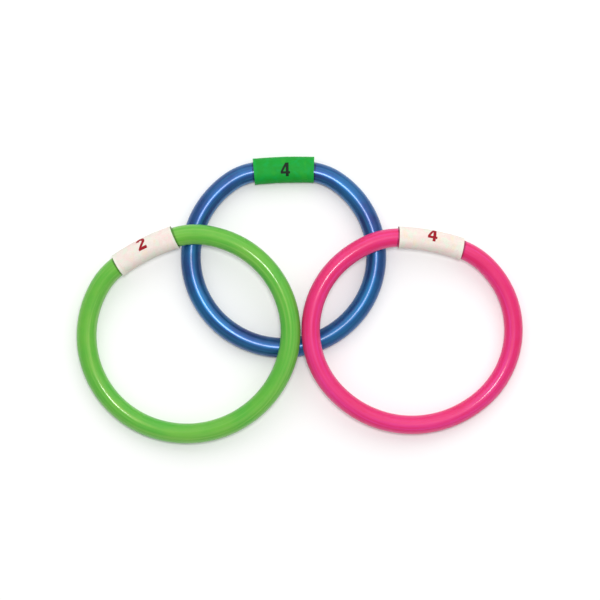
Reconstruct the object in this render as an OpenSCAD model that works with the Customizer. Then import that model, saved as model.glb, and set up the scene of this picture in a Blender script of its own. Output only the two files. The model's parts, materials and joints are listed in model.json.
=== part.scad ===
/*
  Ring toss set: three throwing rings lying together on a table.
  Each ring is a length of soft plastic hose, bent round until its cut ends meet over a ribbed plug,
  and held shut by a wrapped label with a score printed on it. The label and the plug are stiff, so
  each ring is a little flatter there. The blue ring lies flat.
  The green and the pink ring each lie on the table at one side and on the blue ring at the other.
  Millimetres, +X to the right, +Y away from the player, +Z up, origin under the middle of the set.
*/

/* [Hose] */
// Thickness of the hose's wall
hose_wall = 2; // [1.5:0.25:2.5]
// Gap between the two cut ends of a hose, hidden by the label
cut_gap = 0.5; // [0.2:0.1:1]

/* [Plug] */
// Length of the plug that both ends of a hose are pushed on to
plug_length = 34; // [26:1:38]
// Ribs on each half of the plug
ribs_per_side = 4; // [2:1:5]
// Width of one rib
rib_width = 1.6; // [1:0.2:2]
// How far a rib bites into the hose's bore
rib_bite = 0.15; // [0.05:0.05:0.3]
// How far the plug's core is below its ribs
rib_height = 0.6; // [0.3:0.1:1]
// Length of the taper at each end of the plug
taper_length = 3; // [1:0.5:5]

/* [Label] */
// Thickness of the wrapped label
label_wall = 0.35; // [0.2:0.05:0.6]
// Room between the label and the hose
label_slack = 0.1; // [0.05:0.05:0.3]
// Half of the arc of a ring that its label makes flatter
label_flat = 34; // [26:1:35]
// Height of a printed number
number_height = 10; // [6:0.2:11]
// Thickness of the printed ink
ink_film = 0.1; // [0.05:0.05:0.2]

/* [Blue ring] */
// Half of the long axis of the hose's centreline
blue_half_long = 65; // [62:0.5:68]
// Half of the short axis
blue_half_short = 64; // [61:0.5:65]
// Outer diameter of the hose
blue_hose_d = 14; // [12:0.5:16]
// Heading of the long axis, anticlockwise from +X
blue_heading = 8; // [0:1:10]
// Heading of the label
blue_label_at = 90; // [88:1:96]
// Length of the label along the hose
blue_label_length = 42; // [36:1:46]
// Radius that the label itself is bent to
blue_label_bend = 300; // [150:10:600]
// Radius that the hose inside it is bent to
blue_inner_bend = 130; // [100:10:150]
// Width that the label has to spare
blue_label_spare = 2.6; // [0:0.1:3]
// Turn of the number round the hose, outwards from the top
blue_label_turn = 0; // [0:1:40]

/* [Green ring] */
// Half of the long axis of the hose's centreline
green_half_long = 72.25; // [70:0.25:73]
// Half of the short axis
green_half_short = 69.5; // [67:0.5:70]
// Outer diameter of the hose
green_hose_d = 14; // [12:0.5:16]
// Heading of the long axis
green_heading = 25; // [20:1:35]
// Heading of the label
green_label_at = 116.5; // [115:0.5:124]
// Length of the label along the hose
green_label_length = 45; // [36:1:48]
// Radius that the label itself is bent to
green_label_bend = 150; // [150:10:600]
// Radius that the hose inside it is bent to
green_inner_bend = 130; // [100:10:150]
// Width that the label has to spare
green_label_spare = 1.3; // [0:0.1:3]
// Turn of the number round the hose, outwards from the top
green_label_turn = 42; // [0:1:45]
// Place of the ring's middle, to the right of the blue ring's
green_right = -66.5; // [-70:0.25:-66.5]
// Place of the ring's middle, beyond the blue ring's
green_beyond = -54.25; // [-58:0.25:-50]

/* [Pink ring] */
// Half of the long axis of the hose's centreline
pink_half_long = 71.5; // [70:0.5:71.5]
// Half of the short axis
pink_half_short = 66.5; // [65:0.5:69]
// Outer diameter of the hose
pink_hose_d = 13; // [12:0.5:14]
// Heading of the long axis
pink_heading = -4; // [-10:1:-4]
// Heading of the label
pink_label_at = 79.5; // [76:0.5:84]
// Length of the label along the hose
pink_label_length = 45.5; // [36:0.5:48]
// Radius that the label itself is bent to
pink_label_bend = 150; // [150:10:600]
// Radius that the hose inside it is bent to
pink_inner_bend = 120; // [100:10:150]
// Width that the label has to spare
pink_label_spare = 1.1; // [0:0.1:3]
// Turn of the number round the hose, outwards from the top
pink_label_turn = 31; // [0:1:45]
// Place of the ring's middle, to the right of the blue ring's
pink_right = 90; // [90:0.25:93]
// Place of the ring's middle, beyond the blue ring's
pink_beyond = -51.5; // [-56:0.5:-48]

/* [Layout] */
// Gap left where one ring lies on another
contact_gap = 0.5; // [0.3:0.1:1]

/* [Hidden] */
$fn = 96;

BLUE_HOSE = [0.10, 0.24, 0.62];
GREEN_HOSE = [0.38, 0.76, 0.22];
PINK_HOSE = [0.93, 0.16, 0.48];
WHITE_LABEL = [0.95, 0.92, 0.88];
GREEN_LABEL = [0.13, 0.63, 0.22];
RED_INK = [0.72, 0.05, 0.13];
BLACK_INK = [0.06, 0.09, 0.06];
PLUG_PLASTIC = [0.90, 0.89, 0.84];

// A ring: half axes, hose diameter, heading, then its label's heading, length, bend and turn,
// the bend of the hose inside the label, and the label's spare width.
BLUE = [
    blue_half_long, blue_half_short, blue_hose_d, blue_heading, blue_label_at,
    blue_label_length, blue_label_bend, blue_label_turn, blue_inner_bend, blue_label_spare
];
GREEN = [
    green_half_long, green_half_short, green_hose_d, green_heading, green_label_at,
    green_label_length, green_label_bend, green_label_turn, green_inner_bend, green_label_spare
];
PINK = [
    pink_half_long, pink_half_short, pink_hose_d, pink_heading, pink_label_at,
    pink_label_length, pink_label_bend, pink_label_turn, pink_inner_bend, pink_label_spare
];

function half_long(ring) = ring[0];
function half_short(ring) = ring[1];
function hose_r(ring) = ring[2] / 2;
function heading(ring) = ring[3];
function label_at(ring) = ring[4];
function label_length(ring) = ring[5];
function label_bend(ring) = ring[6];
function label_turn(ring) = ring[7];
function inner_bend(ring) = ring[8];
function label_spare(ring) = ring[9];

function toward(angle) = [cos(angle), sin(angle)];

/*
  A ring's centreline starts as an oval of four quarter arcs that meet without a corner.
  Two end arcs have their centres on the long axis, and two flat arcs theirs on the short axis.
  All four centres are the same distance from the ring's middle.
*/
function arc_shift(ring) = (half_long(ring) - half_short(ring)) / (2 - sqrt(2));
function end_radius(ring) = half_long(ring) - arc_shift(ring);
function flat_radius(ring) = half_short(ring) + arc_shift(ring);

/*
  Round the label the flat arc gives way to three: a shoulder, the stiff part that the label
  covers, and a second shoulder. They meet without a corner too, so the shoulders' radius
  and the distance of the stiff part's centre follow from the rest.
*/
function label_angle(ring) = label_at(ring) - heading(ring);
function stiff_angle(ring) = label_length(ring) / 2 / inner_bend(ring) * 180 / PI;
function shoulder_radius(ring) =
    (flat_radius(ring) * sin(label_flat) - inner_bend(ring) * sin(stiff_angle(ring)))
        / (sin(label_flat) - sin(stiff_angle(ring)));
function shoulder_offset(ring) = flat_radius(ring) - shoulder_radius(ring);
function stiff_offset(ring) =
    shoulder_offset(ring) * cos(label_flat)
        - (inner_bend(ring) - shoulder_radius(ring)) * cos(stiff_angle(ring));

// How far the plain oval reaches from the ring's middle towards an angle from its long axis.
function reach(ring, angle) =
    abs(cos(angle)) > abs(sin(angle))
        ? end_radius(ring) + arc_shift(ring) * abs(cos(angle))
        : flat_radius(ring) - arc_shift(ring) * abs(sin(angle));

// Degrees of an arc of that length.
function arc_angle(length, radius) = length / radius * 180 / PI;

// Extra width of a label, because the hose inside it is bent more than the label is.
function bend_allowance(ring) =
    pow(label_length(ring) / 2, 2) / 2 * (1 / inner_bend(ring) - 1 / label_bend(ring));
function label_extra(ring) = bend_allowance(ring) + label_spare(ring);
function label_bore_width(ring) = 2 * (hose_r(ring) + label_slack) + label_extra(ring);
function label_bore_height(ring) = 2 * (hose_r(ring) + label_slack);
label_proud = label_slack + label_wall;

// How far every second arc of a hose laps over its neighbours, and how much thicker it is.
lap_length = 0.3;
lap_swell = 0.03;

// Room left under the blue ring's label, so that the hose's far side is what stands on the table.
rest_gap = 0.05;

// How deep the plug's taper is rooted in its core, and how far it stands back from the core's edge.
taper_root = 0.5;
taper_step = 0.3;

/*
  A pose: the ring's middle in plan from the blue ring's, the heading of its raised side,
  its lean, and the height of its middle with its lowest point on the table.
*/
function pose(ring, plan, raised_to, lean) = [
    plan, raised_to, lean,
    hose_r(ring) + lap_swell + sin(lean) * reach(ring, raised_to + 180 - heading(ring))
];
function plan(pose) = pose[0];
function raised_to(pose) = pose[1];
function lean(pose) = pose[2];
function middle_z(pose) = pose[3];

// The blue ring's label is a little thicker than its hose, so that side is raised by as much.
blue_pose = pose(BLUE, [0, 0], blue_label_at, asin((label_proud + rest_gap) / (2 * half_short(BLUE))));

// Distance from an upper ring's middle to the chord that joins its two crossings with the blue ring.
function chord_distance(upper_r, apart) =
    (apart * apart + upper_r * upper_r - pow(half_short(BLUE), 2)) / (2 * apart);

// The lean that puts an upper ring on the table at one side and on the blue hose at the crossings.
function resting_pose(ring, plan) =
    let (
        raised_to = atan2(-plan.y, -plan.x),
        far_reach = reach(ring, raised_to + 180 - heading(ring)),
        chord = chord_distance(half_short(ring), norm(plan)),
        rise = middle_z(blue_pose) + hose_r(BLUE) + contact_gap
    )
    pose(ring, plan, raised_to, asin(rise / (far_reach + chord)));

green_pose = resting_pose(GREEN, [green_right, green_beyond]);
pink_pose = resting_pose(PINK, [pink_right, pink_beyond]);

// How far a leaning ring reaches in plan from the blue ring's middle, towards a heading.
function plan_reach(ring, pose, to) =
    let (
        along = cos(to - raised_to(pose)) * cos(lean(pose)),
        across = sin(to - raised_to(pose)),
        angle = atan2(across, along) + raised_to(pose) - heading(ring)
    )
    plan(pose) * [cos(to), sin(to)] + norm([along, across]) * reach(ring, angle) + hose_r(ring);

// How far a label's middle is from the middle of its stiff part's arc, before any bend.
function label_middle(ring) = inner_bend(ring) - bend_allowance(ring) / 2;

// The same for the blue ring's label, whose outer side reaches further than the hose.
function label_reach(ring, to) =
    (stiff_offset(ring) + label_middle(ring) - label_bend(ring)) * cos(to - label_at(ring))
        - arc_shift(ring) * cos(to - heading(ring) - 90)
        + label_bend(ring) + label_bore_width(ring) / 2 + label_wall;

set_middle = [
    (plan_reach(PINK, pink_pose, 0) - plan_reach(GREEN, green_pose, 180)) / 2,
    (label_reach(BLUE, 90) - plan_reach(GREEN, green_pose, 270)) / 2
];

// Carries a ring from its own flat frame to where it lies in the set.
module placed(ring, pose) {
    translate([plan(pose).x - set_middle.x, plan(pose).y - set_middle.y, middle_z(pose)])
        rotate([0, 0, raised_to(pose)])
            rotate([0, -lean(pose), 0])
                rotate([0, 0, heading(ring) - raised_to(pose)])
                    children();
}

// The stiff part under the label, seen from the centre of its arc, with +X out through the label.
module at_label(ring) {
    translate([0, -arc_shift(ring), 0])
        rotate([0, 0, label_angle(ring)])
            translate([stiff_offset(ring), 0, 0])
                children();
}

// A flat section carried along an arc, from one angle to another.
module bent(radius, from, to) {
    rotate([0, 0, from])
        rotate_extrude(angle = to - from)
            translate([radius, 0])
                children();
}

module hose_section(ring, swell = 0) {
    difference() {
        circle(r = hose_r(ring) + swell);
        circle(r = hose_r(ring) - hose_wall - swell);
    }
}

// An arc of hose that laps over both its neighbours, and is a hair thicker so that they join cleanly.
module lapping_arc(ring, radius, from, to) {
    lap = arc_angle(lap_length, radius);
    bent(radius, from - lap, to + lap)
        hose_section(ring, lap_swell);
}

// The hose's end arcs and the flat arc across from the label.
module plain_arcs(ring) {
    for (end = [0, 180])
        rotate([0, 0, end])
            translate([arc_shift(ring), 0, 0])
                bent(end_radius(ring), -45, 45)
                    hose_section(ring);
    translate([0, arc_shift(ring), 0])
        lapping_arc(ring, flat_radius(ring), 225, 315);
}

// The flat arc on the label's side: two plain ends, two shoulders and the stiff part.
module flattened_arc(ring) {
    middle = label_angle(ring);
    stiff = stiff_angle(ring);
    lapping_arc(ring, flat_radius(ring), 45, middle - label_flat);
    lapping_arc(ring, flat_radius(ring), middle + label_flat, 135);
    translate(shoulder_offset(ring) * toward(middle - label_flat))
        bent(shoulder_radius(ring), middle - label_flat, middle - stiff)
            hose_section(ring);
    translate(shoulder_offset(ring) * toward(middle + label_flat))
        bent(shoulder_radius(ring), middle + stiff, middle + label_flat)
            hose_section(ring);
    translate(stiff_offset(ring) * toward(middle))
        lapping_arc(ring, inner_bend(ring), middle - stiff, middle + stiff);
}

// The hose: arcs laid end to end, cut through where the label will hide it.
module hose(ring) {
    difference() {
        union() {
            plain_arcs(ring);
            translate([0, -arc_shift(ring), 0])
                flattened_arc(ring);
        }
        at_label(ring)
            translate([inner_bend(ring), 0, 0])
                cube([3 * hose_r(ring), cut_gap, 3 * hose_r(ring)], center = true);
    }
}

// The plug: a flexible core with tapered ends, and ribs that grip the bore of both hose ends.
module plug(ring) {
    bore_r = hose_r(ring) - hose_wall;
    core_r = bore_r + rib_bite - rib_height;
    half_angle = arc_angle(plug_length / 2 - taper_length, inner_bend(ring));
    rib_angle = arc_angle(rib_width, inner_bend(ring));
    at_label(ring) {
        bent(inner_bend(ring), -half_angle, half_angle)
            circle(r = core_r);
        for (side = [-1, 1]) {
            rotate([0, 0, side * half_angle])
                translate([inner_bend(ring), -side * taper_root, 0])
                    rotate([-side * 90, 0, 0])
                        cylinder(
                            h = taper_root + taper_length,
                            r1 = core_r - taper_step,
                            r2 = core_r / 2
                        );
            for (rib = [1:ribs_per_side]) {
                middle = side * half_angle * rib / (ribs_per_side + 0.5);
                bent(inner_bend(ring), middle - rib_angle / 2, middle + rib_angle / 2)
                    circle(r = bore_r + rib_bite);
            }
        }
    }
}

// A section with two flat sides and two round ends.
module stadium(width, height) {
    square([width - height, height], center = true);
    for (side = [-1, 1])
        translate([side * (width - height) / 2, 0])
            circle(r = height / 2);
}

// A shell that follows a label's bore, from one distance outside the bore to another.
module label_shell(ring, inside, outside, length) {
    half_angle = arc_angle(length, label_bend(ring)) / 2;
    width = label_bore_width(ring);
    height = label_bore_height(ring);
    at_label(ring)
        translate([label_middle(ring) - label_bend(ring), 0, 0])
            bent(label_bend(ring), -half_angle, half_angle)
                difference() {
                    stadium(width + 2 * outside, height + 2 * outside);
                    stadium(width + 2 * inside, height + 2 * inside);
                }
}

module label(ring) {
    label_shell(ring, 0, label_wall, label_length(ring));
}

// A four of height 1, with its foot at y = 0 and its middle at x = 0.
module four() {
    stroke = 0.17;
    bar_y = 0.22;
    stem_x = 0.06;
    translate([stem_x, 0])
        square([stroke, 1]);
    translate([-0.33, bar_y])
        square([0.66, stroke]);
    polygon([
        [-0.33, bar_y + 0.05], [-0.13, bar_y + 0.05],
        [stem_x + 0.02, 0.74], [stem_x + stroke, 1], [stem_x - 0.02, 1], [-0.33, bar_y + 0.17]
    ]);
}

// A two of height 1, drawn like the four.
module two() {
    stroke = 0.17;
    bowl_r = 0.31;
    bowl_y = 1 - bowl_r;
    difference() {
        translate([0, bowl_y])
            circle(r = bowl_r);
        translate([0, bowl_y])
            circle(r = bowl_r - stroke);
        translate([0, bowl_y])
            polygon([[0, 0], [-1, 0.15], [-1, -1], [0.6, -1]]);
    }
    polygon([
        [-0.31, 0], [-0.08, stroke - 0.02], [0.26, bowl_y - 0.16],
        [0.11, bowl_y - 0.05], [-0.31, stroke]
    ]);
    translate([-0.31, 0])
        square([0.62, stroke]);
}

// A digit printed on the label as a film of ink, its head towards the outside of the ring.
module number(ring) {
    ink_length = number_height;
    intersection() {
        label_shell(ring, label_wall, label_wall + ink_film, ink_length);
        at_label(ring)
            translate([label_middle(ring), 0, 0])
                rotate([0, label_turn(ring), 0])
                    linear_extrude(height = 2 * hose_r(ring))
                        rotate(-90)
                            scale(number_height)
                                translate([0, -0.5])
                                    children();
    }
}

color(BLUE_HOSE) placed(BLUE, blue_pose) hose(BLUE);  // blue_hose
color(PLUG_PLASTIC) placed(BLUE, blue_pose) plug(BLUE);  // blue_plug
color(GREEN_LABEL) placed(BLUE, blue_pose) label(BLUE);  // blue_label
color(BLACK_INK) placed(BLUE, blue_pose) number(BLUE) four();  // blue_number

color(GREEN_HOSE) placed(GREEN, green_pose) hose(GREEN);  // green_hose
color(PLUG_PLASTIC) placed(GREEN, green_pose) plug(GREEN);  // green_plug
color(WHITE_LABEL) placed(GREEN, green_pose) label(GREEN);  // green_label
color(RED_INK) placed(GREEN, green_pose) number(GREEN) two();  // green_number

color(PINK_HOSE) placed(PINK, pink_pose) hose(PINK);  // pink_hose
color(PLUG_PLASTIC) placed(PINK, pink_pose) plug(PINK);  // pink_plug
color(WHITE_LABEL) placed(PINK, pink_pose) label(PINK);  // pink_label
color(RED_INK) placed(PINK, pink_pose) number(PINK) four();  // pink_number
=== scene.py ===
"""Looks of the ring toss set: three bent-hose rings with wrapped score labels.

The rings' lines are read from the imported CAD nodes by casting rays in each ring's own plane, so the
visible pieces lie where the CAD says, but for the small moves that RINGS states. Metres throughout.
"""

import json
import math

import bmesh
import bpy
from mathutils import Matrix, Vector, noise
from mathutils.bvhtree import BVHTree


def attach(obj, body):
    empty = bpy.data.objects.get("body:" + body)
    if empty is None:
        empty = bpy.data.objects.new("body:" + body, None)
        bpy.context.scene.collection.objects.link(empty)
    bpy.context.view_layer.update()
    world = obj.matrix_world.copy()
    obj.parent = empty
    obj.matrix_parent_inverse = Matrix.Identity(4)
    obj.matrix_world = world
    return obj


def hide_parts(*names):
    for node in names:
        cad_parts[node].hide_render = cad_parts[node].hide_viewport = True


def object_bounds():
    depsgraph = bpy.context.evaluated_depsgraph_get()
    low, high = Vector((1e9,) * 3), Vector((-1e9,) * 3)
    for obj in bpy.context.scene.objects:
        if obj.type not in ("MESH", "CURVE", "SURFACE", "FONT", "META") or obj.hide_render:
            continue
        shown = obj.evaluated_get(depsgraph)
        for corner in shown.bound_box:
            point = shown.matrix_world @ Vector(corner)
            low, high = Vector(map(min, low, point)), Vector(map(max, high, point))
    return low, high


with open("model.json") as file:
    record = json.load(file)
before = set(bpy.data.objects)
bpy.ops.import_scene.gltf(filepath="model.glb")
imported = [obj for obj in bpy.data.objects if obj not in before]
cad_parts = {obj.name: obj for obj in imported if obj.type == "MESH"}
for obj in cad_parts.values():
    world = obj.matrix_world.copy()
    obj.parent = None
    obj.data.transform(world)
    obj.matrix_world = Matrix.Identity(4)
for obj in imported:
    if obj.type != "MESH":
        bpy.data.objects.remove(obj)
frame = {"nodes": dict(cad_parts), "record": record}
cad_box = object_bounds()
RECORD = frame["record"]
MM = 0.001
FULL_TURN = 2 * math.pi

# ---------------------------------------------------------------- what each ring is made of

# turn is the number's turn round the hose in degrees, and shift is its way along the label. skew is how
# much longer the paper is on the ring's inner side at its left and right ends. lie is how the loose label
# lies on its hose: turned by some degrees, and moved outwards. shift, skew and that move are in
# millimetres. label_bend is the radius of the label's midline in metres, and seed varies the noise.
RINGS = {
    "blue": {
        "digit": "4",
        "turn": 0.0,
        "shift": 1.0,
        "skew": (0.1, 0.1),
        "lie": (1.8, 0.45),
        "label_bend": 300.0 * MM,
        "hose_slot": "blue_hose",
        "label_slot": "green_label",
        "ink_slot": "black_ink",
        "seed": 3.0,
    },
    "green": {
        "digit": "2",
        "turn": 38.0,
        "shift": -0.3,
        "skew": (0.65, 0.9),
        "lie": (0.0, 0.0),
        "label_bend": 150.0 * MM,
        "hose_slot": "green_hose",
        "label_slot": "white_label",
        "ink_slot": "red_ink",
        "seed": 17.0,
    },
    "pink": {
        "digit": "4",
        "turn": 37.5,
        "shift": 0.0,
        "skew": (0.0, 1.0),
        "lie": (0.0, 0.0),
        "label_bend": 150.0 * MM,
        "hose_slot": "pink_hose",
        "label_slot": "white_label",
        "ink_slot": "red_ink",
        "seed": 31.0,
    },
}

RAY_LENGTH = 0.12  # longer than any ring's radius
LINE_POINTS = 240  # points read off the CAD along a hose
LINE_SMOOTHINGS = 2
CURVE_STEPS = 12  # steps of the smooth curve between two of those points
BESIDE_CUT = math.radians(0.4)  # the two rays by a hose's cut, which just miss its open ends

HOSE_WALL = 2.0 * MM
HOSE_STEPS = 720  # loops of vertices along a hose
HOSE_SIDES = 56  # vertices round it
BORE_STRIDE = 4  # the bore has one loop for so many outside
HALF_GAP = 0.25 * MM  # from each cut end to the middle of the gap between them
SWELL = 0.05 * MM  # how much a hose's radius wanders
SWELL_PACE = 3  # how fast it wanders round the ring
NARROWING = 0.996  # a bent tube is a hair narrower in the plane of its bend

LABEL_STEPS = 90  # steps between the loops of vertices along a label
LABEL_SIDES = 128  # vertices round it
LINING_STRIDE = 3  # the paper's inside has one loop for so many outside
LABEL_WALL = 0.35 * MM
LABEL_PROBES = 0.75  # where the label's midline is read, as a part of the way to its ends
SEAM = -0.36  # where the paper's outer edge stops on the inner underside, as a part of the girth
LAP = 5.0 * MM  # the paper's overlap
LAP_STEP = 0.10 * MM  # the step at its free edge
PAPER_INSET = 0.03 * MM  # how far the paper lies inside its CAD node's outside
FLARE_FROM = 0.88  # where the paper starts to curl away, as a part of the way to its ends
FLARE_UNTIL = 1.05  # and where it curls no further
FLARE_POWER = 1.6
FLARE_MM = 0.17  # how far its ends stand away
FLARE_VARIES_MM = 0.14  # and how much that varies
WAVE_MM = 0.12
RIPPLE_MM = 0.05
CREASE_MM = 0.06
RAGGED = 0.07 * MM  # how uneven its ends are cut

INK_FILM = 0.06 * MM  # how far the ink stands off the paper
INK_ROOT = 0.02 * MM  # how far it sinks into it
INK_FRAY = 0.03 * MM  # how uneven its edge is
DIGIT_HEIGHT = 9.8 * MM
DIGIT_CELLS = 30  # a digit's height is cut into so many steps, so that it can bend


# ---------------------------------------------------------------- reading lines off the CAD


def vertices_of(node):
    return [v.co for v in frame["nodes"][node].data.vertices]


def tree_of(node):
    polygons = [tuple(p.vertices) for p in frame["nodes"][node].data.polygons]
    return BVHTree.FromPolygons(vertices_of(node), polygons)


class RingPlane:
    """A ring's middle, axis and plane, from its eye mount."""

    def __init__(self, ring):
        eye = next(m for m in RECORD["mounts"] if m["name"] == ring + "_ring_eye")
        self.middle = Vector(eye["pos_m"])
        self.axis = Vector(eye["axis"]).normalized()
        self.right = (Vector((1, 0, 0)) - self.axis * self.axis.x).normalized()
        self.ahead = self.axis.cross(self.right)

    def toward(self, angle):
        return self.right * math.cos(angle) + self.ahead * math.sin(angle)

    def angle_of(self, point):
        p = point - self.middle
        return math.atan2(p.dot(self.ahead), p.dot(self.right))


def trace(tree, plane, angle):
    """(middle of the tube, its half width) where the ring's plane is cut at this angle."""
    out = plane.toward(angle)
    inner = tree.ray_cast(plane.middle, out, RAY_LENGTH)[0]
    outer = tree.ray_cast(plane.middle + out * RAY_LENGTH, -out, RAY_LENGTH)[0]
    return (inner + outer) / 2, (outer - inner).length / 2


def hose_line(ring, plane, cut_angle):
    """Closed list of points along the hose's centreline, starting at its cut, and its radius."""
    tree = tree_of(ring + "_hose")
    ends = [trace(tree, plane, cut_angle + side * BESIDE_CUT)[0] for side in (-1, 1)]
    middles = [(ends[0] + ends[1]) / 2]
    widths = []
    for i in range(1, LINE_POINTS):
        middle, half_width = trace(tree, plane, cut_angle + FULL_TURN * i / LINE_POINTS)
        middles.append(middle)
        widths.append(half_width)
    for _ in range(LINE_SMOOTHINGS):
        following = middles[1:] + middles[:1]
        middles = [(middles[i - 1] + middles[i] * 2 + following[i]) / 4 for i in range(LINE_POINTS)]
    return middles, sorted(widths)[LINE_POINTS // 2]


def smooth_curve(points):
    """Dense points along a smooth closed curve through these, with the first again at the end."""
    dense = []
    for i in range(len(points)):
        before, here, there, after = [points[(i + k) % len(points)] for k in (-1, 0, 1, 2)]
        for j in range(CURVE_STEPS):
            t = j / CURVE_STEPS
            slope = (there - before) * t
            bend = (2 * before - 5 * here + 4 * there - after) * t * t
            twist = (3 * here - before - 3 * there + after) * t ** 3
            dense.append(0.5 * (2 * here + slope + bend + twist))
    dense.append(points[0].copy())
    return dense


def resample(points, count):
    """count points at equal steps along the smooth closed curve through these points, and its length."""
    dense = smooth_curve(points)
    reached = [0.0]
    for a, b in zip(dense, dense[1:]):
        reached.append(reached[-1] + (b - a).length)
    length = reached[-1]
    even = []
    k = 0
    for i in range(count):
        wanted = length * i / count
        while reached[k + 1] < wanted:
            k += 1
        even.append(dense[k].lerp(dense[k + 1], (wanted - reached[k]) / (reached[k + 1] - reached[k])))
    return even, length


# ---------------------------------------------------------------- mesh helpers


def linked(name, data):
    obj = bpy.data.objects.new(name, data)
    bpy.context.scene.collection.objects.link(obj)
    return obj


class Grid:
    """Faces collected with their UVs, one sheet after another."""

    def __init__(self):
        self.verts, self.faces, self.uvs = [], [], []

    def sheet(self, rows, uv, flip=False, wrap=True):
        """Quads over rows of points. uv(i, j) is a corner's UV. wrap joins each row's end to its start."""
        base = len(self.verts)
        width = len(rows[0])
        for row in rows:
            self.verts.extend(row)
        for i in range(len(rows) - 1):
            this, following = base + i * width, base + (i + 1) * width
            for j in range(width if wrap else width - 1):
                k = (j + 1) % width
                quad = [this + j, this + k, following + k, following + j]
                corners = [uv(i, j), uv(i, j + 1), uv(i + 1, j + 1), uv(i + 1, j)]
                if flip:
                    quad.reverse()
                    corners.reverse()
                self.faces.append(quad)
                self.uvs.extend(corners)
        return base

    def band(self, first, second, sides, wall, flip=False):
        """Quads between two closed loops of vertices that are already there, given by where they start."""
        for j in range(sides):
            k = (j + 1) % sides
            quad = [first + j, first + k, second + k, second + j]
            if flip:
                quad.reverse()
            self.faces.append(quad)
            self.uvs.extend([(0, 0), (0, 0), (0, wall), (0, wall)])

    def pipe(self, outer, outer_uv, inner, inner_uv, wall):
        """A pipe with a wall: its outside, its bore, and a flat face at each end."""
        sides = len(outer[0])
        outside = self.sheet(outer, outer_uv, flip=True)
        bore = self.sheet(inner, inner_uv)
        last_outside = outside + (len(outer) - 1) * sides
        last_bore = bore + (len(inner) - 1) * sides
        self.band(outside, bore, sides, wall)
        self.band(last_outside, last_bore, sides, wall, flip=True)

    def mesh(self, name, material):
        mesh = bpy.data.meshes.new(name)
        mesh.from_pydata([tuple(v) for v in self.verts], [], self.faces)
        mesh.materials.append(material)
        return mesh

    def piece(self, name, material, ring, sharp_from):
        """A smooth piece of a ring, with an edge wherever two faces meet at over sharp_from degrees."""
        mesh = self.mesh(name, material)
        layer = mesh.uv_layers.new(name="UVMap")
        for corner, uv in zip(layer.data, self.uvs):
            corner.uv = uv
        mesh.polygons.foreach_set("use_smooth", [True] * len(mesh.polygons))
        mesh.validate()
        mesh.set_sharp_from_angle(angle=math.radians(sharp_from))
        obj = linked(name, mesh)
        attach(obj, ring + "_ring")
        return obj


# ---------------------------------------------------------------- hose


def hose_rows(ring, plane, label_angle):
    """(centre, direction outwards, radius) for each loop of a hose, from one cut end to the other."""
    middles, radius = hose_line(ring, plane, label_angle)
    line, length = resample(middles, HOSE_STEPS)
    rows = []
    for i in range(HOSE_STEPS):
        ahead = (line[(i + 1) % HOSE_STEPS] - line[i - 1]).normalized()
        turn = FULL_TURN * i / HOSE_STEPS
        place = Vector((math.cos(turn) * SWELL_PACE, math.sin(turn) * SWELL_PACE, RINGS[ring]["seed"]))
        size = radius + noise.noise(place) * SWELL
        rows.append((line[i], ahead.cross(plane.axis).normalized(), size))
    # The hose starts and stops short of where its two ends meet.
    gap = HALF_GAP / (length / HOSE_STEPS)
    out, size = rows[0][1:]
    rows.append((line[-1].lerp(line[0], 1 - gap), out, size))
    rows[0] = (line[0].lerp(line[1], gap), out, size)
    return rows, radius, length


def hose_loop(centre, out, up, radius):
    loop = []
    for j in range(HOSE_SIDES):
        turn = FULL_TURN * j / HOSE_SIDES
        loop.append(centre + out * (math.cos(turn) * radius * NARROWING) + up * (math.sin(turn) * radius))
    return loop


def hose_mesh(ring, plane, label_angle, material):
    """A hollow hose bent into a ring, open at the cut under its label."""
    rows, radius, length = hose_rows(ring, plane, label_angle)
    outer = [hose_loop(centre, out, plane.axis, size) for centre, out, size in rows]
    bore = radius - HOSE_WALL
    inner = [hose_loop(centre, out, plane.axis, bore) for centre, out, _ in rows[::BORE_STRIDE]]

    def uv(i, j):
        """(distance from the cut, distance round the hose)"""
        return length * min(i, HOSE_STEPS - i) / HOSE_STEPS, FULL_TURN * radius * j / HOSE_SIDES

    grid = Grid()
    grid.pipe(outer, uv, inner, lambda i, j: uv(i * BORE_STRIDE, j), HOSE_WALL)
    obj = grid.piece(ring + "_hose_bent", material, ring, 50)
    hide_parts(ring + "_hose")


# ---------------------------------------------------------------- label


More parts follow.
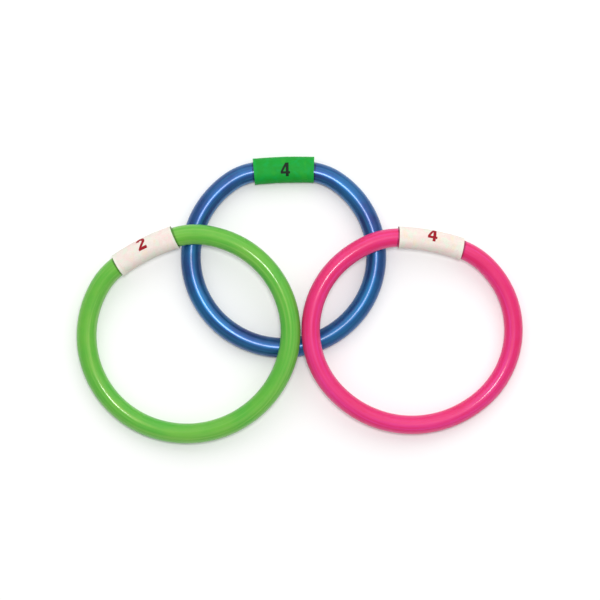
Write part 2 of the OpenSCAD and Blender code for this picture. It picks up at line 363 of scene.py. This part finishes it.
class LabelSurface:
    """The outside of a label: a point for each distance along it and round it.

    Its midline is an arc in the ring's plane. Its section is a circle, stretched outwards by two flats.
    """

    def __init__(self, ring, plane):
        facts = RINGS[ring]
        points = vertices_of(ring + "_label")
        self.plane = plane
        self.seed = facts["seed"]
        self.skew = facts["skew"]
        self.bend = facts["label_bend"]
        self.middle_angle = plane.angle_of(sum(points, Vector()) / len(points))
        crown = self.set_section_and_axes(ring, points)
        self.set_length(points, crown)
        turned, moved_out = facts["lie"]
        lie = Matrix.Rotation(math.radians(turned), 3, plane.axis)
        self.along, self.out = lie @ self.along, lie @ self.out
        self.centre = crown - self.out * (self.bend - moved_out * MM)

    def set_section_and_axes(self, ring, points):
        """Sets the section's size, and the ways along and out. Returns the midline's crown."""
        plane = self.plane
        tree = tree_of(ring + "_label")
        angles = [math.remainder(plane.angle_of(p) - self.middle_angle, FULL_TURN) for p in points]
        middle, half_width = trace(tree, plane, self.middle_angle)
        self.half_height = max(abs((p - plane.middle).dot(plane.axis)) for p in points)
        self.half_width = half_width
        self.flat = half_width - self.half_height
        self.girth = 4 * self.flat + FULL_TURN * self.half_height
        left = trace(tree, plane, self.middle_angle + max(angles) * LABEL_PROBES)[0]
        right = trace(tree, plane, self.middle_angle + min(angles) * LABEL_PROBES)[0]
        self.along = (right - left).normalized()
        self.out = self.along.cross(plane.axis) * -1
        if self.out.dot(middle - plane.middle) < 0:
            self.out.negate()
        half_chord = (right - left).length / 2
        sag = self.bend - math.sqrt(self.bend ** 2 - half_chord ** 2)
        return (left + right) / 2 + self.out * sag

    def set_length(self, points, crown):
        """Sets the label's length, and where its middle is as a turn about the midline's centre."""
        centre = crown - self.out * self.bend
        spans = [p - centre for p in points]
        turns = [math.atan2(s.dot(self.along), s.dot(self.out)) for s in spans]
        self.mid_turn = (max(turns) + min(turns)) / 2
        self.length = (max(turns) - min(turns)) * self.bend

    def section(self, arc):
        """(out, up, normal out, normal up) at a distance round from the crown, outwards first."""
        flat, r = self.flat, self.half_height
        half_circle = math.pi * r
        arc = math.remainder(arc, self.girth)
        side = 1 if arc >= 0 else -1
        past = abs(arc)
        if past <= flat:
            return side * past, r, 0.0, 1.0
        if past <= flat + half_circle:
            t = (past - flat) / r
            return side * (flat + r * math.sin(t)), r * math.cos(t), side * math.sin(t), math.cos(t)
        return side * (flat - (past - flat - half_circle)), -r, 0.0, -1.0

    def point(self, along, arc, lift):
        """The point that far along from the middle and round from the crown, lifted off the surface."""
        turn = self.mid_turn + along / self.bend
        out_here = self.out * math.cos(turn) + self.along * math.sin(turn)
        out, up, normal_out, normal_up = self.section(arc)
        away = self.bend + out + normal_out * lift
        return self.centre + out_here * away + self.plane.axis * (up + normal_up * lift)

    def flare(self, along, arc):
        """How far the ends of the paper curl away from the hose."""
        outward = min(abs(along) / self.length * 2, FLARE_UNTIL)
        near_end = max(0.0, outward - FLARE_FROM) / (1 - FLARE_FROM)
        place = Vector((outward * 2, arc * 160, self.seed + 5))
        return near_end ** FLARE_POWER * (FLARE_MM + FLARE_VARIES_MM * noise.noise(place)) * MM

    def waves(self, along, arc):
        """Waves about 10 mm long with finer ones on them, and a few creases. Hardly any goes above 0."""
        place = Vector((along * 90, arc * 110, self.seed))
        waves = noise.noise(place) * WAVE_MM + noise.noise(place * 2.7) * RIPPLE_MM
        crease_place = Vector((along * 60, arc * 45, self.seed + 9))
        crease = max(0.0, 1 - abs(noise.noise(crease_place) * 9)) * CREASE_MM
        return (waves - crease - CREASE_MM) * MM

    def lift(self, along, arc):
        """How far the paper's outside stands off the surface.

        Over the lap the paper is doubled, and its free edge makes a small step.
        """
        past = (arc - SEAM * self.girth) % self.girth
        step = LAP_STEP * max(0.0, 1 - past / LAP)
        return self.waves(along, arc) + self.flare(along, arc) + step - PAPER_INSET

    def along_at(self, i, arc):
        """How far along the label its row i is, with the end rows cut a little ragged and askew."""
        t = 2 * i / LABEL_STEPS - 1
        inward = -self.section(arc)[0] / self.half_width
        askew = self.skew[0 if t < 0 else 1] * MM * inward
        ragged = noise.noise(Vector((arc * 500, self.seed, t * 50))) * RAGGED
        return t * self.length / 2 + math.copysign(abs(t) ** 5, t) * (askew + ragged)


def label_mesh(ring, surface, material):
    """A paper label wrapped round the hose, lapped over itself on the underside."""
    arcs = [SEAM * surface.girth + surface.girth * j / LABEL_SIDES for j in range(LABEL_SIDES)]
    outer, inner = [], []
    for i in range(LABEL_STEPS + 1):
        row = [(surface.along_at(i, arc), arc) for arc in arcs]
        outer.append([surface.point(x, arc, surface.lift(x, arc)) for x, arc in row])
        if i % LINING_STRIDE == 0:
            inner.append([surface.point(x, arc, surface.flare(x, arc) - LABEL_WALL) for x, arc in row])

    def uv(i, j):
        """(distance from the left end, distance round the label)"""
        return surface.length * i / LABEL_STEPS, surface.girth * j / LABEL_SIDES

    grid = Grid()
    grid.pipe(outer, uv, inner, lambda i, j: uv(i * LINING_STRIDE, j), LABEL_WALL)
    obj = grid.piece(ring + "_label_paper", material, ring, 40)
    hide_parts(ring + "_label")


# ---------------------------------------------------------------- printed digits


def arc_points(cx, cy, r, start, stop, count):
    """Points from one angle to another, in degrees, on a circle."""
    angles = [math.radians(start + (stop - start) * i / count) for i in range(count + 1)]
    return [(cx + r * math.cos(a), cy + r * math.sin(a)) for a in angles]


def digit_loops(digit):
    """Closed outlines of a bold condensed digit of height 1, foot at 0, middle at x 0."""
    if digit == "4":
        outline = [(0.03, 0), (0.24, 0), (0.24, 0.20), (0.34, 0.20), (0.34, 0.375), (0.24, 0.375),
                   (0.24, 1.0), (0.01, 1.0), (-0.34, 0.37), (-0.34, 0.20), (0.03, 0.20)]
        counter = [(0.03, 0.375), (0.03, 0.72), (-0.155, 0.375)]
        return [outline, counter]
    stroke, r, cy = 0.215, 0.32, 0.68
    start, stop, count = 172, -35, 26
    outer = arc_points(0, cy, r, start, stop, count)
    inner = arc_points(0, cy - 0.03, r - stroke, stop, start, count)
    return [outer + [(-0.03, stroke), (0.32, stroke), (0.32, 0), (-0.32, 0), (-0.32, 0.13)] + inner]


def flat_digit(digit):
    """A flat digit of height 1 about the origin, cut into small cells so that it can bend."""
    bm = bmesh.new()
    edges = []
    for loop in digit_loops(digit):
        corners = [bm.verts.new((x, y - 0.5, 0)) for x, y in loop]
        edges += [bm.edges.new(pair) for pair in zip(corners, corners[1:] + corners[:1])]
    bmesh.ops.triangle_fill(bm, edges=edges, use_beauty=True, use_dissolve=False)
    reach = DIGIT_CELLS // 2 + 1
    for axis in (Vector((1, 0, 0)), Vector((0, 1, 0))):
        for k in range(-reach, reach + 1):
            geom = bm.verts[:] + bm.edges[:] + bm.faces[:]
            place = axis * (k / DIGIT_CELLS)
            bmesh.ops.bisect_plane(bm, geom=geom, plane_co=place, plane_no=axis, dist=1e-5)
    bmesh.ops.remove_doubles(bm, verts=bm.verts[:], dist=1e-4)
    bm.normal_update()
    if sum(f.normal.z for f in bm.faces) < 0:
        bmesh.ops.reverse_faces(bm, faces=bm.faces[:])
    bm.verts.index_update()
    return bm


def film_faces(bm):
    """A flat mesh's faces, the same turned over for a second layer of vertices, and the rim between."""
    count = len(bm.verts)
    faces = []
    for f in bm.faces:
        corners = [v.index for v in f.verts]
        faces.append(corners)
        faces.append([count + c for c in reversed(corners)])
    for e in bm.edges:
        if e.is_boundary:
            loop = e.link_loops[0]
            a, b = loop.vert.index, loop.link_loop_next.vert.index
            faces.append([b, a, count + a, count + b])
    return faces


def digit_mesh(ring, surface, material):
    """A film of ink that follows the label's surface, waves and all."""
    facts = RINGS[ring]
    turned = math.radians(facts["turn"])
    crown_arc = surface.flat * math.sin(turned) + surface.half_height * turned
    bm = flat_digit(facts["digit"])
    tops, roots, places = [], [], []
    for v in bm.verts:
        x, y = v.co.x * DIGIT_HEIGHT, v.co.y * DIGIT_HEIGHT
        fray = noise.noise(Vector((x * 4000, y * 4000, 2))) * INK_FRAY if v.is_boundary else 0
        along = x + fray + facts["shift"] * MM
        arc = crown_arc + y + fray
        lift = surface.lift(along, arc)
        tops.append(surface.point(along, arc, lift + INK_FILM))
        roots.append(surface.point(along, arc, lift - INK_ROOT))
        places.append((along, arc))
    grid = Grid()
    grid.verts = tops + roots
    grid.faces = film_faces(bm)
    grid.uvs = [places[corner % len(places)] for face in grid.faces for corner in face]
    bm.free()
    obj = grid.piece(ring + "_digit_ink", material, ring, 40)
    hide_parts(ring + "_number")


# ---------------------------------------------------------------- materials


class Nodes:
    """A short way to write a node tree."""

    def __init__(self, name):
        self.material = bpy.data.materials.new(name)
        self.material.use_nodes = True
        self.tree = self.material.node_tree
        self.tree.nodes.clear()
        out = self.add("ShaderNodeOutputMaterial")
        self.shader = self.add("ShaderNodeBsdfPrincipled")
        self.link(self.shader.outputs[0], out.inputs[0])

    def add(self, kind, **settings):
        """A new node. A setting is one of its input sockets if it has one by that name."""
        node = self.tree.nodes.new(kind)
        for key, value in settings.items():
            if key in node.inputs:
                node.inputs[key].default_value = value
            else:
                setattr(node, key, value)
        return node

    def link(self, a, b):
        self.tree.links.new(a, b)

    def feed(self, value, socket):
        """Puts a number, a colour or another node's output into a socket."""
        if isinstance(value, (int, float)):
            socket.default_value = value
        elif isinstance(value, tuple):
            socket.default_value = (*value, 1)
        else:
            self.link(value, socket)

    def set(self, **values):
        for key, value in values.items():
            self.shader.inputs[key.replace("_", " ")].default_value = value

    def coords(self, kind, scale=(1, 1, 1)):
        mapping = self.add("ShaderNodeMapping", Scale=scale)
        self.link(self.add("ShaderNodeTexCoord").outputs[kind], mapping.inputs["Vector"])
        return mapping.outputs[0]

    def uv_parts(self):
        """The UV's two parts, each in metres."""
        parts = self.add("ShaderNodeSeparateXYZ")
        self.link(self.coords("UV"), parts.inputs[0])
        return parts.outputs[0], parts.outputs[1]

    def noise(self, vector, scale, detail=4.0, rough=0.55, distortion=0.0):
        settings = {"Scale": scale, "Detail": detail, "Roughness": rough, "Distortion": distortion}
        node = self.add("ShaderNodeTexNoise", **settings)
        self.link(vector, node.inputs["Vector"])
        return node.outputs["Fac"]

    def ramp(self, fac, stops):
        """A ramp of two stops: (position, colour)."""
        node = self.add("ShaderNodeValToRGB")
        for element, (at, colour) in zip(node.color_ramp.elements, stops):
            element.position = at
            element.color = (*colour, 1)
        self.link(fac, node.inputs[0])
        return node.outputs["Color"]

    def value_range(self, fac, low, high, from_low=0.0, from_high=1.0):
        """low where fac is from_low or less, high where it is from_high or more."""
        settings = {"From Min": from_low, "From Max": from_high, "To Min": low, "To Max": high}
        node = self.add("ShaderNodeMapRange", **settings)
        self.link(fac, node.inputs["Value"])
        return node.outputs["Result"]

    def math(self, kind, a, b=0):
        node = self.add("ShaderNodeMath", operation=kind)
        self.feed(a, node.inputs[0])
        self.feed(b, node.inputs[1])
        return node.outputs[0]

    def mix(self, fac, a, b):
        """Colour a where fac is 0 and colour b where it is 1."""
        node = self.add("ShaderNodeMix", data_type="RGBA")
        sockets = {s.identifier: s for s in node.inputs}
        self.feed(fac, sockets["Factor_Float"])
        self.feed(a, sockets["A_Color"])
        self.feed(b, sockets["B_Color"])
        return next(s for s in node.outputs if s.identifier == "Result_Color")

    def bump(self, heights):
        """Stacked bumps: (height, strength, distance in metres)."""
        normal = None
        for height, strength, distance in heights:
            node = self.add("ShaderNodeBump", Strength=strength, Distance=distance)
            self.link(height, node.inputs["Height"])
            if normal is not None:
                self.link(normal, node.inputs["Normal"])
            normal = node.outputs[0]
        self.link(normal, self.shader.inputs["Normal"])


# The next three numbers shape a dark line of painted shade on each hose beside its label's ends, where the
# paper's edge shades it.
SHADE_LINE_CORE = 0.4 * MM  # half the width of the painted shade line at a label's end, at full strength
SHADE_LINE_REACH = 0.9 * MM  # and where it has faded out
SHADE_LINE_SLANT = 0.9 * MM
HOSE_RADIUS = 7.0 * MM  # near enough to every hose's, for the slant of its painted shade line
PVC_SCATTER = 2.5 * MM  # how far light goes under the surface
PLUG_SCATTER = 1.0 * MM
MARGIN_START = 2.2 * MM  # where a label's pale cut margin starts, from its end
MARGIN_FULL = 1.0 * MM  # and where it is palest


def hose_colour(m, base, deep, pale, label_end):
    """Patches of a deeper tone, pale drawn-out streaks, specks, and a line of painted shade where the
    label ends.
    """
    solid = m.coords("Object")
    patches = m.noise(solid, 38, 3)
    streaks = m.noise(m.coords("UV", (8, 420, 1)), 1, 2, 0.5)
    specks = m.noise(solid, 2600, 2)
    colour = m.mix(m.value_range(patches, 0, 1, 0.35, 0.65), deep, base)
    colour = m.mix(m.value_range(streaks, 0, 0.55, 0.48, 0.68), colour, pale)
    colour = m.mix(m.value_range(specks, 0, 0.6, 0.72, 0.8), colour, deep)
    # A dark line of painted shade, standing in for the shade where the label's end stands off the hose,
    # label_end metres from the cut, a little askew.
    from_cut, round_hose = m.uv_parts()
    askew = m.math("MULTIPLY", m.math("COSINE", m.math("DIVIDE", round_hose, HOSE_RADIUS)), SHADE_LINE_SLANT)
    beyond = m.math("ABSOLUTE", m.math("SUBTRACT", m.math("ADD", from_cut, askew), label_end))
    patchy = m.value_range(m.noise(solid, 900, 3), 0.45, 0.95, 0.35, 0.65)
    painted_shade = m.math("MULTIPLY", m.value_range(beyond, 1.0, 0.0, SHADE_LINE_CORE, SHADE_LINE_REACH), patchy)
    # Mixes in the painted shade: the deep tone at 0.30 of its brightness.
    return m.mix(painted_shade, colour, tuple(c * 0.30 for c in deep))


def hose_material(name, base, deep, pale, label_end, roughness=0.42, sway=0.03, **finish):
    """Extruded plastic hose: drawn-out streaks, fine lengthwise lines, handling marks and specks."""
    m = Nodes(name)
    m.link(hose_colour(m, base, deep, pale, label_end), m.shader.inputs["Base Color"])
    solid = m.coords("Object")
    scratch = m.noise(m.coords("UV", (60, 2600, 1)), 1, 2, 0.5, 0.4)
    smudge = m.noise(solid, 120, 5, 0.65, 0.6)
    rough = m.value_range(smudge, roughness - 0.05, roughness + 0.07, 0.3, 0.75)
    rough = m.math("ADD", rough, m.value_range(m.noise(solid, 22, 2), -sway, sway, 0.35, 0.65))
    rough = m.math("ADD", rough, m.value_range(scratch, 0, 0.12, 0.66, 0.74))
    m.link(rough, m.shader.inputs["Roughness"])
    waves = m.noise(m.coords("UV", (70, 160, 1)), 1, 2, 0.5)
    lines = m.noise(m.coords("UV", (3, 1500, 1)), 1, 2, 0.5)
    peel = m.noise(solid, 900, 2, 0.5)
    m.bump([
        (waves, 0.5, 0.12 * MM),
        (lines, 0.35, 0.04 * MM),
        (peel, 0.3, 0.02 * MM),
        (scratch, 0.2, 0.02 * MM),
    ])
    m.set(IOR=1.5, Subsurface_Scale=PVC_SCATTER, **finish)
    return m.material


def paper_material(name, base, warm, cool, ripe, stain, length, roughness=0.62, specular=0.4):
    """Printed paper label: fibres, patches of tint, a pale cut margin, stains and a little crumple."""
    m = Nodes(name)
    solid = m.coords("Object")
    cool_patches = m.noise(m.coords("Object", (1.1, 1.3, 1)), 210, 2, 0.5)
    ripe_patches = m.noise(m.coords("Object", (1.4, 0.9, 1)), 120, 2, 0.5)
    colour = m.mix(m.value_range(m.noise(solid, 150, 3, 0.6, 0.5), 0, 1, 0.40, 0.60), warm, base)
    colour = m.mix(m.value_range(cool_patches, 0, 0.9, 0.50, 0.64), colour, cool)
    colour = m.mix(m.value_range(ripe_patches, 0, 0.8, 0.58, 0.70), colour, ripe)
    # The cut margin at both ends shows the paper's own pale stock.
    from_middle = m.math("ABSOLUTE", m.math("SUBTRACT", m.uv_parts()[0], length / 2))
    margin = m.value_range(from_middle, 0, 0.75, length / 2 - MARGIN_START, length / 2 - MARGIN_FULL)
    margin = m.math("MULTIPLY", margin, m.value_range(m.noise(solid, 420, 2), 0.1, 1.0, 0.35, 0.6))
    colour = m.mix(margin, colour, tuple(min(c * 1.06, 1) for c in cool))
    stains = m.noise(solid, 95, 6, 0.7, 0.8)
    grain = m.noise(solid, 1500, 3, 0.6)
    colour = m.mix(m.value_range(stains, 0, 0.55, 0.61, 0.74), colour, stain)
    colour = m.mix(m.value_range(grain, 0, 0.30, 0.52, 0.72), colour, stain)
    m.link(colour, m.shader.inputs["Base Color"])
    fibres = m.noise(m.coords("UV", (1600, 2600, 1)), 1, 4, 0.7, 1.2)
    rough = m.value_range(fibres, roughness - 0.08, roughness + 0.12, 0.3, 0.7)
    m.link(rough, m.shader.inputs["Roughness"])
    crumple = m.noise(solid, 260, 5, 0.6, 0.3)
    m.bump([(crumple, 0.5, 0.12 * MM), (fibres, 0.35, 0.03 * MM)])
    m.set(IOR=1.45, Specular_IOR_Level=specular)
    return m.material


def ink_material(name, base, thin):
    """Printed ink: dense, with the paper's grain breaking through a little."""
    m = Nodes(name)
    grain = m.noise(m.coords("UV", (2200, 2200, 1)), 1, 4, 0.7)
    wear = m.noise(m.coords("UV", (700, 700, 1)), 1, 3, 0.6)
    colour = m.mix(m.value_range(grain, 0, 0.5, 0.52, 0.72), base, thin)
    colour = m.mix(m.value_range(wear, 0, 0.35, 0.6, 0.75), colour, thin)
    m.link(colour, m.shader.inputs["Base Color"])
    m.link(m.value_range(grain, 0.50, 0.70), m.shader.inputs["Roughness"])
    m.bump([(grain, 0.3, 0.02 * MM)])
    m.set(IOR=1.48, Specular_IOR_Level=0.2)
    return m.material


def plug_material():
    """Natural moulded polythene: milky, with flow marks and a fine mould texture."""
    m = Nodes("plug_polythene")
    solid = m.coords("Object")
    flow = m.noise(solid, 220, 4, 0.6, 1.5)
    texture = m.noise(solid, 2400, 3)
    colour = m.ramp(flow, [(0.35, (0.70, 0.68, 0.60)), (0.65, (0.86, 0.85, 0.79))])
    m.link(colour, m.shader.inputs["Base Color"])
    m.link(m.value_range(texture, 0.38, 0.55), m.shader.inputs["Roughness"])
    m.bump([(texture, 0.35, 0.03 * MM)])
    m.set(Subsurface_Weight=0.2, Subsurface_Radius=(1, 0.9, 0.7), Subsurface_Scale=PLUG_SCATTER, IOR=1.5)
    return m.material


def floor_material():
    """Plain pale table top with the faintest grain."""
    m = Nodes("floor_pale")
    haze = m.noise(m.coords("Object"), 6)
    colour = m.ramp(haze, [(0.3, (0.94, 0.94, 0.94)), (0.7, (0.97, 0.97, 0.97))])
    m.link(colour, m.shader.inputs["Base Color"])
    m.set(Roughness=0.9, Specular_IOR_Level=0.1)
    return m.material


def build_materials():
    """The materials by their slots in RINGS, and the plugs' own."""
    return {
        "blue_hose": hose_material(
            "hose_blue_metallic",
            base=(0.007, 0.120, 0.320),
            deep=(0.018, 0.036, 0.190),
            pale=(0.018, 0.225, 0.420),
            label_end=0.0216,
            roughness=0.43,
            sway=0.10,
            Metallic=0.76,
            Coat_Weight=0.55,
            Coat_Tint=(0.62, 0.84, 0.98, 1),
            Coat_Roughness=0.22,
        ),
        "green_hose": hose_material(
            "hose_green_pvc",
            base=(0.120, 0.440, 0.046),
            deep=(0.072, 0.415, 0.042),
            pale=(0.255, 0.525, 0.108),
            label_end=0.0232,
            Subsurface_Weight=0.35,
            Subsurface_Radius=(0.6, 1.0, 0.3),
            Specular_Tint=(1.0, 0.85, 0.35, 1),
            Coat_Weight=0.34,
            Coat_Roughness=0.12,
        ),
        "pink_hose": hose_material(
            "hose_pink_pvc",
            base=(0.730, 0.018, 0.165),
            deep=(0.700, 0.011, 0.125),
            pale=(0.760, 0.052, 0.330),
            label_end=0.0235,
            Subsurface_Weight=0.35,
            Subsurface_Radius=(1.0, 0.3, 0.5),
            Specular_Tint=(1.0, 0.65, 1.0, 1),
            Coat_Weight=0.28,
            Coat_Roughness=0.12,
        ),
        "green_label": paper_material(
            "label_green_paper",
            base=(0.004, 0.325, 0.032),
            warm=(0.006, 0.300, 0.024),
            cool=(0.003, 0.335, 0.048),
            ripe=(0.016, 0.335, 0.024),
            stain=(0.006, 0.230, 0.022),
            length=0.042,
            roughness=0.60,
            specular=0.22,
        ),
        "white_label": paper_material(
            "label_white_paper",
            base=(0.785, 0.720, 0.660),
            warm=(0.815, 0.655, 0.615),
            cool=(0.715, 0.745, 0.630),
            ripe=(0.810, 0.685, 0.540),
            stain=(0.500, 0.440, 0.400),
            length=0.045,
        ),
        "red_ink": ink_material("ink_red", base=(0.300, 0.003, 0.012), thin=(0.450, 0.040, 0.055)),
        "black_ink": ink_material("ink_black", base=(0.004, 0.010, 0.005), thin=(0.006, 0.060, 0.012)),
        "plug": plug_material(),
    }


# ---------------------------------------------------------------- stage

FLOOR_REACH = 3.0
FLOOR_CELLS = 24
FLOOR_DROP = 0.1 * MM  # how far the floor is under the object
CAMERA_HEIGHT = 2.6
CAMERA_OFFSET = 0.2 * MM  # from the frame's origin, in X and in Y
WIDTH_SEEN = 0.420
SEEN_HEIGHT = 0.010  # the height at which the view is so wide
SENSOR_WIDTH = 36


def build_floor():
    """A flat sheet a hair under the object, with FLOOR_REACH to each side."""
    steps = [FLOOR_REACH * (2 * i / FLOOR_CELLS - 1) for i in range(FLOOR_CELLS + 1)]
    rows = [[Vector((x, y, cad_box[0][2] - FLOOR_DROP)) for x in steps] for y in steps]
    grid = Grid()
    grid.sheet(rows, lambda i, j: (i, j), wrap=False)
    obj = linked("floor", grid.mesh("floor", floor_material()))


def area_light(name, at, width, depth, power):
    """A rectangular lamp that is aimed at the origin."""
    data = bpy.data.lights.new(name, "AREA")
    data.shape = "RECTANGLE"
    data.size = width
    data.size_y = depth
    data.energy = power
    obj = linked(name, data)
    obj.location = at
    obj.rotation_euler = (-Vector(at)).to_track_quat("-Z", "Y").to_euler()


def build_lights():
    world = bpy.data.worlds.new("studio")
    bpy.context.scene.world = world
    world.use_nodes = True
    background = world.node_tree.nodes["Background"]
    background.inputs["Color"].default_value = (1, 1, 1, 1)
    background.inputs["Strength"].default_value = 0.50
    area_light("softbox", (0.16, 1.00, 1.12), width=2.9, depth=1.6, power=15.0)
    area_light("key", (0.04, 0.17, 2.30), width=0.34, depth=0.26, power=20.5)


def build_camera():
    """A long lens that looks straight down, as in the photograph."""
    data = bpy.data.cameras.new("camera")
    data.sensor_width = SENSOR_WIDTH
    data.lens = SENSOR_WIDTH * (CAMERA_HEIGHT - SEEN_HEIGHT) / WIDTH_SEEN
    obj = linked("camera", data)
    obj.location = (CAMERA_OFFSET, CAMERA_OFFSET, CAMERA_HEIGHT)
    bpy.context.scene.camera = obj
    bpy.context.scene.view_settings.view_transform = "Standard"
    bpy.context.scene.view_settings.look = "None"


# ---------------------------------------------------------------- build


def build_ring(ring, materials):
    facts = RINGS[ring]
    plane = RingPlane(ring)
    surface = LabelSurface(ring, plane)
    hose_mesh(ring, plane, surface.middle_angle, materials[facts["hose_slot"]])
    label_mesh(ring, surface, materials[facts["label_slot"]])
    digit_mesh(ring, surface, materials[facts["ink_slot"]])
    plug = frame["nodes"][ring + "_plug"]
    plug.data.materials.clear()
    plug.data.materials.append(materials["plug"])


slot_materials = build_materials()
for name in RINGS:
    build_ring(name, slot_materials)
build_floor()
build_lights()
build_camera()
